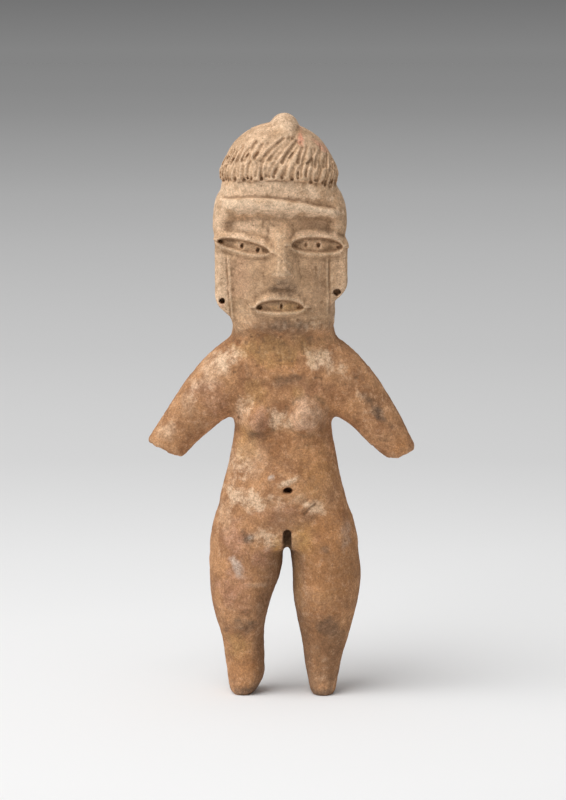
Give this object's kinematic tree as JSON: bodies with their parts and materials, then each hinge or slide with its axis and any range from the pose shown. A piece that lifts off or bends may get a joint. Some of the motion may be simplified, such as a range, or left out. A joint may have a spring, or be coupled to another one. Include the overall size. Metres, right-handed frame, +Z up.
{
  "type": "female figure",
  "caption": "Small standing female figurine of fired clay in one solid piece, with short arms and blunt feet that stand on a flat surface.",
  "frame": {"origin": "on the ground, under the middle of the figure's box", "axes": "+Z up, the figure faces -Y, +X is to the right of a viewer who faces the figure"},
  "size_m": [0.0688, 0.0272, 0.15],
  "materials": {
    "earthenware": "matte, unglazed, low-fired clay"
  },
  "bodies": {
    "root": {"female_figure": "earthenware"}
  },
  "joints": []
}
